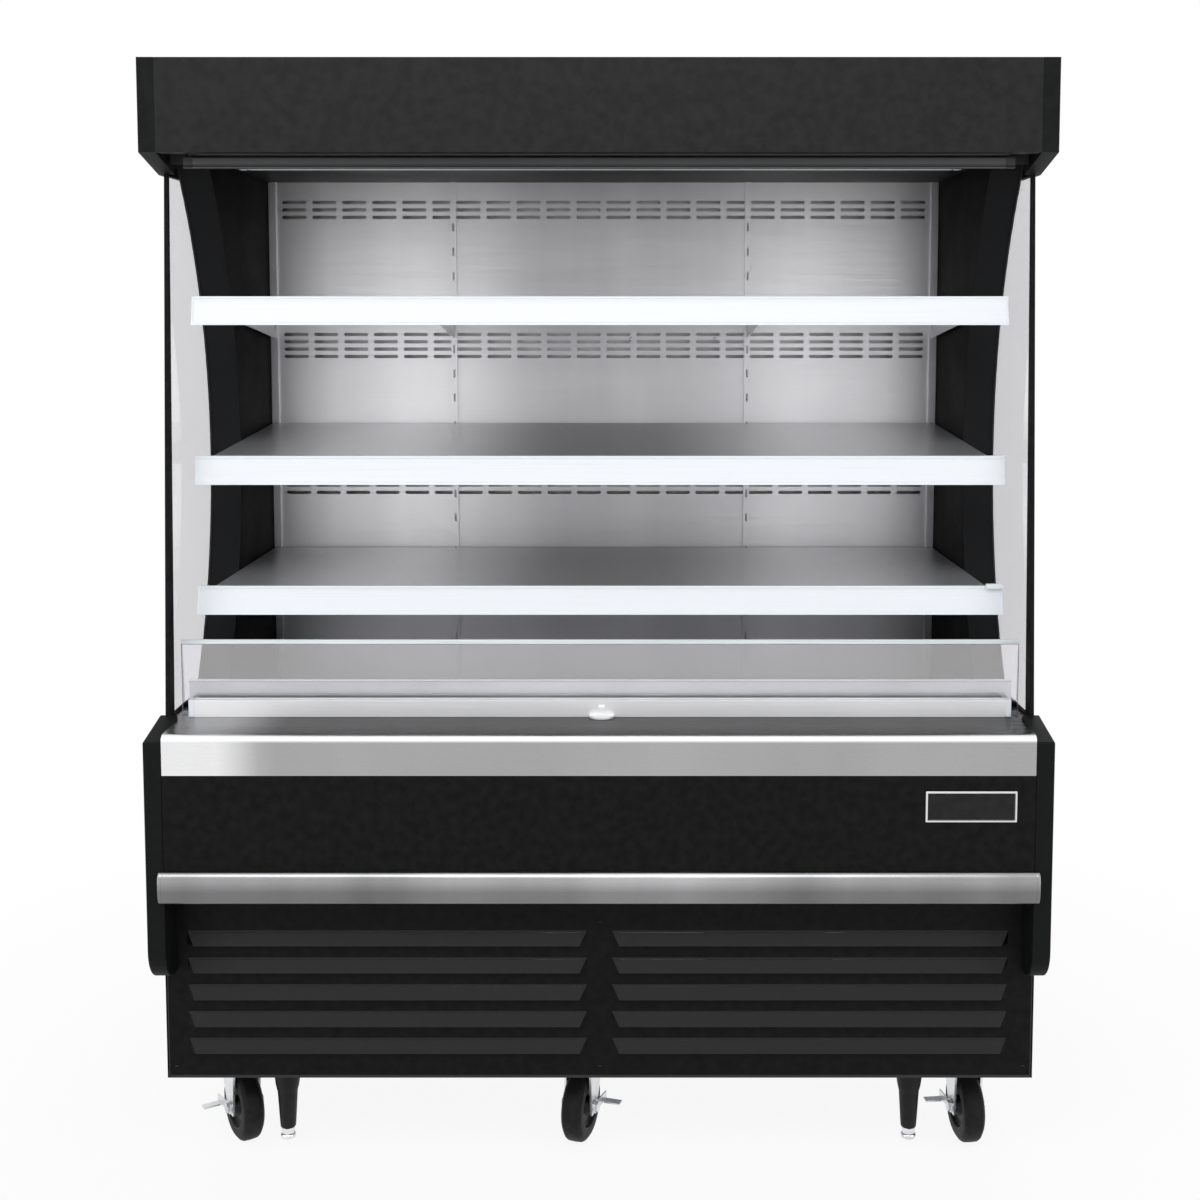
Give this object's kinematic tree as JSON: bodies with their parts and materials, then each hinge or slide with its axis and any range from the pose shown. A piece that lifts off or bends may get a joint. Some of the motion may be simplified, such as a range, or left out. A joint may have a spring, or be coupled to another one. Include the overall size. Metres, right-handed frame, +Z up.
{
  "type": "open multideck display fridge",
  "caption": "Tall open-front refrigerated display case with glass end windows, shelves with price strips, a pull-down night curtain, a louvred base and braked casters.",
  "frame": {"origin": "on the floor, under the middle of the footprint", "axes": "+X to the right seen from the front, +Y to the back, +Z up; the open front faces -Y"},
  "size_m": [1.524, 0.8269, 1.918],
  "materials": {
    "black_steel": "satin powder coat",
    "black_moulding": "fine grain",
    "black_liner": "satin",
    "stainless": "brushed",
    "shelf_steel": "brushed",
    "zinc": "zinc plated",
    "galvanised": "galvanised",
    "white_strip": "smooth",
    "clear_glass": "polished",
    "foam_core": "cut foam",
    "coil_aluminium": "mill",
    "black_rubber": "smooth",
    "leg_plastic": "smooth",
    "compressor_black": "gloss",
    "light_diffuser": "frosted",
    "honeycomb_plastic": "smooth",
    "curtain_cloth": "woven",
    "curtain_aluminium": "anodised",
    "fan_plastic": "smooth"
  },
  "bodies": {
    "cabinet": {"side_skins": "black_steel", "side_glass": "clear_glass", "side_liners": "black_liner", "wall_core": "foam_core", "rear_skin": "galvanised", "sill_cap": "stainless", "tank_core": "foam_core", "tank_liner": "stainless", "nose_ends": "black_moulding", "front_panel": "black_steel", "bumper_rail": "stainless", "guard_channel": "stainless", "guard_glass": "clear_glass", "return_grille": "stainless", "deck_pans": "stainless", "duct_panel": "stainless", "shelf_uprights": "stainless", "canopy_fascia": "black_steel", "roof_panel": "black_steel", "canopy_ceiling": "black_steel", "air_honeycomb": "honeycomb_plastic", "canopy_light": "light_diffuser", "canopy_ends": "black_moulding", "curtain_cloth": "curtain_cloth", "base_frame": "galvanised", "louvre_panel": "black_steel", "caster_plates": "zinc", "leg_sleeves": "leg_plastic", "compressor": "compressor_black", "condenser_coil": "coil_aluminium", "control_box": "galvanised", "evaporator_coil": "coil_aluminium"},
    "curtain_roller": {"curtain_roller": "curtain_cloth"},
    "curtain_bar": {"curtain_bar": "curtain_aluminium"},
    "shelf_1": {"shelf_1": "shelf_steel", "ticket_strip_1": "white_strip"},
    "shelf_2": {"shelf_2": "shelf_steel", "ticket_strip_2": "white_strip"},
    "shelf_3": {"shelf_3": "shelf_steel", "ticket_strip_3": "white_strip"},
    "front_swivel_left": {"front_fork_left": "zinc"},
    "front_wheel_left": {"front_wheel_left": "black_rubber"},
    "brake_lever_left": {"brake_lever_left": "zinc"},
    "rear_swivel_left": {"rear_fork_left": "zinc"},
    "rear_wheel_left": {"rear_wheel_left": "black_rubber"},
    "front_swivel_centre": {"front_fork_centre": "zinc"},
    "front_wheel_centre": {"front_wheel_centre": "black_rubber"},
    "brake_lever_centre": {"brake_lever_centre": "zinc"},
    "rear_swivel_centre": {"rear_fork_centre": "zinc"},
    "rear_wheel_centre": {"rear_wheel_centre": "black_rubber"},
    "front_swivel_right": {"front_fork_right": "zinc"},
    "front_wheel_right": {"front_wheel_right": "black_rubber"},
    "brake_lever_right": {"brake_lever_right": "zinc"},
    "rear_swivel_right": {"rear_fork_right": "zinc"},
    "rear_wheel_right": {"rear_wheel_right": "black_rubber"},
    "levelling_foot_left": {"levelling_foot_left": "zinc"},
    "levelling_foot_right": {"levelling_foot_right": "zinc"},
    "condenser_fan": {"condenser_fan": "fan_plastic"},
    "evaporator_fan_left": {"evaporator_fan_left": "fan_plastic"},
    "evaporator_fan_right": {"evaporator_fan_right": "fan_plastic"}
  },
  "joints": [
    {"name": "curtain_pull", "type": "slide", "parent": "cabinet", "child": "curtain_bar", "axis": [0, 0, -1], "range_m": [0, 0.92], "stiffness_N_per_m": 8, "springref_m": -1.1, "deforming": ["curtain_cloth"]},
    {"name": "curtain_roll", "type": "hinge", "parent": "cabinet", "child": "curtain_roller", "pos_m": [0, -0.2995, 1.845], "axis": [-1, 0, 0], "continuous": true},
    {"name": "shelf_1_lift", "type": "hinge", "parent": "cabinet", "child": "shelf_1", "pos_m": [0, 0.2922, 1.525], "axis": [-1, 0, 0], "range_deg": [0, 12]},
    {"name": "shelf_2_lift", "type": "hinge", "parent": "cabinet", "child": "shelf_2", "pos_m": [0, 0.2922, 1.275], "axis": [-1, 0, 0], "range_deg": [0, 12]},
    {"name": "shelf_3_lift", "type": "hinge", "parent": "cabinet", "child": "shelf_3", "pos_m": [0, 0.2922, 1.015], "axis": [-1, 0, 0], "range_deg": [0, 12]},
    {"name": "front_swivel_left", "type": "hinge", "parent": "cabinet", "child": "front_swivel_left", "pos_m": [-0.6674, -0.1845, 0.15], "axis": [0, 0, 1], "continuous": true},
    {"name": "front_roll_left", "type": "hinge", "parent": "front_swivel_left", "child": "front_wheel_left", "pos_m": [-0.65052, -0.2105, 0.0635], "axis": [0.8387, 0.5446, 0], "continuous": true},
    {"name": "brake_left", "type": "hinge", "parent": "front_swivel_left", "child": "brake_lever_left", "pos_m": [-0.65052, -0.2105, 0.0635], "axis": [0.8387, 0.5446, 0], "range_deg": [0, 20]},
    {"name": "rear_swivel_left", "type": "hinge", "parent": "cabinet", "child": "rear_swivel_left", "pos_m": [-0.655, 0.2935, 0.15], "axis": [0, 0, 1], "continuous": true},
    {"name": "rear_roll_left", "type": "hinge", "parent": "rear_swivel_left", "child": "rear_wheel_left", "pos_m": [-0.655, 0.3245, 0.0635], "axis": [-1, 0, 0], "continuous": true},
    {"name": "front_swivel_centre", "type": "hinge", "parent": "cabinet", "child": "front_swivel_centre", "pos_m": [-0.0272, -0.1845, 0.15], "axis": [0, 0, 1], "continuous": true},
    {"name": "front_roll_centre", "type": "hinge", "parent": "front_swivel_centre", "child": "front_wheel_centre", "pos_m": [-0.03657, -0.21405, 0.0635], "axis": [0.9532, -0.3024, 0], "continuous": true},
    {"name": "brake_centre", "type": "hinge", "parent": "front_swivel_centre", "child": "brake_lever_centre", "pos_m": [-0.03657, -0.21405, 0.0635], "axis": [0.9532, -0.3024, 0], "range_deg": [0, 20]},
    {"name": "rear_swivel_centre", "type": "hinge", "parent": "cabinet", "child": "rear_swivel_centre", "pos_m": [0, 0.2935, 0.15], "axis": [0, 0, 1], "continuous": true},
    {"name": "rear_roll_centre", "type": "hinge", "parent": "rear_swivel_centre", "child": "rear_wheel_centre", "pos_m": [0, 0.3245, 0.0635], "axis": [-1, 0, 0], "continuous": true},
    {"name": "front_swivel_right", "type": "hinge", "parent": "cabinet", "child": "front_swivel_right", "pos_m": [0.6599, -0.1845, 0.15], "axis": [0, 0, 1], "continuous": true},
    {"name": "front_roll_right", "type": "hinge", "parent": "front_swivel_right", "child": "front_wheel_right", "pos_m": [0.66341, -0.2153, 0.0635], "axis": [0.9936, 0.1132, 0], "continuous": true},
    {"name": "brake_right", "type": "hinge", "parent": "front_swivel_right", "child": "brake_lever_right", "pos_m": [0.66341, -0.2153, 0.0635], "axis": [0.9936, 0.1132, 0], "range_deg": [0, 20]},
    {"name": "rear_swivel_right", "type": "hinge", "parent": "cabinet", "child": "rear_swivel_right", "pos_m": [0.655, 0.2935, 0.15], "axis": [0, 0, 1], "continuous": true},
    {"name": "rear_roll_right", "type": "hinge", "parent": "rear_swivel_right", "child": "rear_wheel_right", "pos_m": [0.655, 0.3245, 0.0635], "axis": [-1, 0, 0], "continuous": true},
    {"name": "levelling_left", "type": "slide", "parent": "cabinet", "child": "levelling_foot_left", "axis": [0, 0, -1], "range_m": [0, 0.026]},
    {"name": "levelling_right", "type": "slide", "parent": "cabinet", "child": "levelling_foot_right", "axis": [0, 0, -1], "range_m": [0, 0.026]},
    {"name": "condenser_fan_spin", "type": "hinge", "parent": "cabinet", "child": "condenser_fan", "pos_m": [-0.34, -0.165, 0.35], "axis": [0, 1, 0], "continuous": true},
    {"name": "evaporator_fan_left_spin", "type": "hinge", "parent": "cabinet", "child": "evaporator_fan_left", "pos_m": [-0.3, -0.0575, 0.63575], "axis": [0, 1, 0], "continuous": true},
    {"name": "evaporator_fan_right_spin", "type": "hinge", "parent": "cabinet", "child": "evaporator_fan_right", "pos_m": [0.3, -0.0575, 0.63575], "axis": [0, 1, 0], "continuous": true}
  ],
  "couplings": [
    {"joint": "curtain_roll", "follows": "curtain_pull", "rad_per_m": 37.736}
  ]
}
